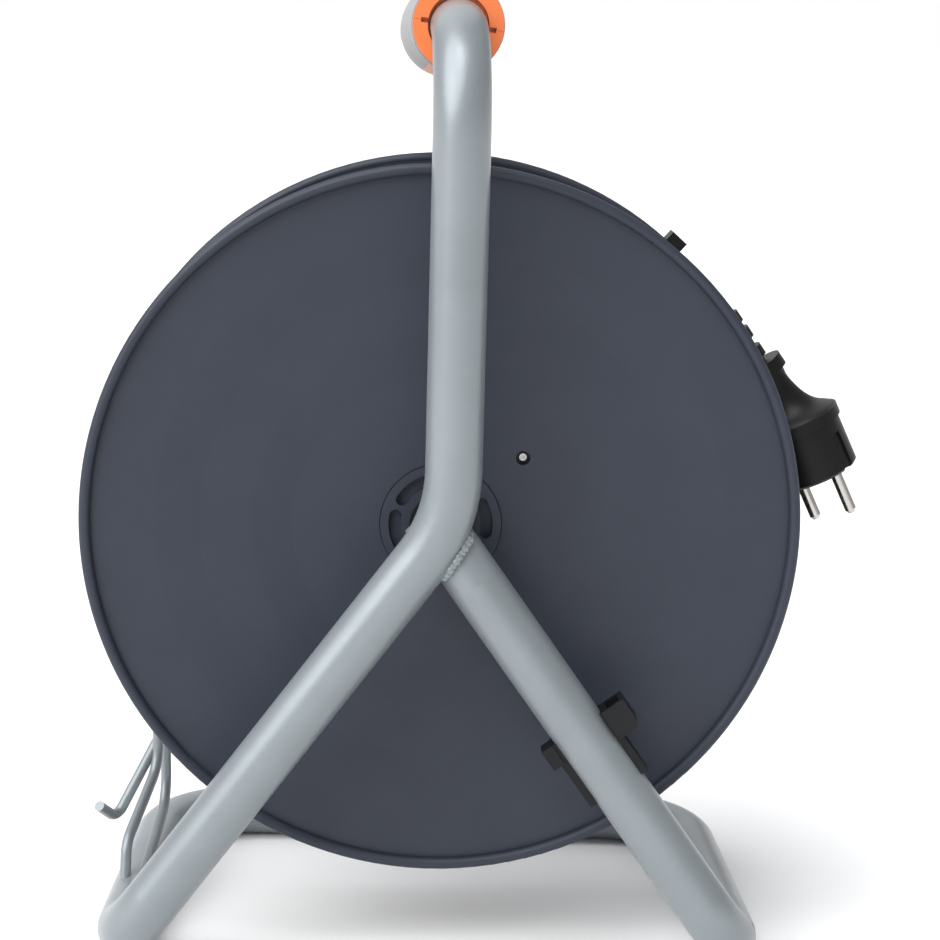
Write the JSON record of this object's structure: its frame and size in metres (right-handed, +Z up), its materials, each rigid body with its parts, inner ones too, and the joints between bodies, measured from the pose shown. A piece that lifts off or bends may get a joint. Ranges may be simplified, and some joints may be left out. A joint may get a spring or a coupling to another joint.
{
  "type": "extension cord reel",
  "caption": "Cable drum that turns on an axle in a bent steel tube stand with a carrying grip, wound with a mains lead and fitted with lidded sockets.",
  "frame": {"origin": "on the floor, under the middle of the stand's width and depth", "axes": "+Z up, +Y from the legs towards the socket side, +X to the right seen from the legs' side"},
  "size_m": [0.3176, 0.1902, 0.3944],
  "materials": {
    "stand_paint": "smooth silver-grey powder coat",
    "zinc_steel": "bright zinc plating",
    "flange_plastic": "fine-textured blue-grey moulding",
    "panel_plastic": "fine-textured black moulding",
    "black_plastic": "satin black moulding",
    "socket_plastic": "satin dark grey moulding",
    "lid_plastic": "satin dark grey moulding",
    "grip_orange": "satin orange moulding",
    "grip_rubber": "soft grey touch rubber",
    "palm_rubber": "soft orange touch rubber",
    "nickel": "bright nickel",
    "spring_bronze": "plain spring bronze",
    "cable_rubber": "dull black rubber sheath",
    "plug_rubber": "satin black moulded plug",
    "button_red": "gloss red moulding",
    "terminal_white": "off-white moulding"
  },
  "bodies": {
    "stand": {"frame_tube": "stand_paint", "weld_bead": "stand_paint", "grip_upper_half": "grip_orange", "grip_lower_half": "grip_orange", "grip_cover": "grip_rubber", "grip_palm_pad": "palm_rubber", "grip_screws": "zinc_steel", "handle_end_cap": "black_plastic", "axle": "zinc_steel", "axle_collar": "black_plastic", "axle_washer": "zinc_steel", "axle_nut": "zinc_steel", "leg_clip": "black_plastic", "cable_guide": "stand_paint", "guide_hook": "stand_paint"},
    "drum": {"rear_flange": "flange_plastic", "rear_hub_bush": "flange_plastic", "flange_screw": "zinc_steel", "drum_core": "flange_plastic", "cable_gland": "black_plastic", "front_flange": "flange_plastic", "front_hub_bush": "flange_plastic", "rim_clip": "black_plastic", "socket_panel": "panel_plastic", "earth_contacts": "spring_bronze", "lid_pins": "zinc_steel", "panel_screws": "zinc_steel", "centre_cap": "black_plastic", "thermal_cutout": "black_plastic", "terminal_block": "terminal_white", "knob_pin": "zinc_steel", "plug_body": "plug_rubber", "plug_pins": "nickel", "plug_earth_contacts": "nickel", "plug_strain_relief": "plug_rubber", "cable_tail": "cable_rubber", "cable_winding": "cable_rubber", "socket_insert_1": "socket_plastic", "socket_insert_2": "socket_plastic", "socket_insert_3": "socket_plastic", "socket_insert_4": "socket_plastic"},
    "crank": {"crank_knob": "black_plastic"},
    "button": {"reset_button": "button_red"},
    "lid_1": {"socket_lid_1": "lid_plastic"},
    "lid_2": {"socket_lid_2": "lid_plastic"},
    "lid_3": {"socket_lid_3": "lid_plastic"},
    "lid_4": {"socket_lid_4": "lid_plastic"}
  },
  "joints": [
    {"name": "drum_spin", "type": "hinge", "parent": "stand", "child": "drum", "pos_m": [0, 0, 0.178], "axis": [0, 1, 0], "continuous": true},
    {"name": "knob_spin", "type": "hinge", "parent": "drum", "child": "crank", "pos_m": [0.07199, 0.045, 0.0922], "axis": [0, 1, 0], "continuous": true},
    {"name": "reset_press", "type": "slide", "parent": "drum", "child": "button", "axis": [0, -1, 0], "range_m": [0, 0.002], "stiffness_N_per_m": 400, "springref_m": -0.002},
    {"name": "lid_1_open", "type": "hinge", "parent": "drum", "child": "lid_1", "pos_m": [0.04879, 0.0385, 0.22679], "axis": [0.7071, 0, -0.7071], "range_deg": [0, 100], "stiffness_Nm_per_rad": 0.01, "springref_deg": -28.65},
    {"name": "lid_2_open", "type": "hinge", "parent": "drum", "child": "lid_2", "pos_m": [-0.04879, 0.0385, 0.22679], "axis": [0.7071, 0, 0.7071], "range_deg": [0, 100], "stiffness_Nm_per_rad": 0.01, "springref_deg": -28.65},
    {"name": "lid_3_open", "type": "hinge", "parent": "drum", "child": "lid_3", "pos_m": [-0.04879, 0.0385, 0.12921], "axis": [-0.7071, 0, 0.7071], "range_deg": [0, 100], "stiffness_Nm_per_rad": 0.01, "springref_deg": -28.65},
    {"name": "lid_4_open", "type": "hinge", "parent": "drum", "child": "lid_4", "pos_m": [0.04879, 0.0385, 0.12921], "axis": [-0.7071, 0, -0.7071], "range_deg": [0, 100], "stiffness_Nm_per_rad": 0.01, "springref_deg": -28.65}
  ]
}
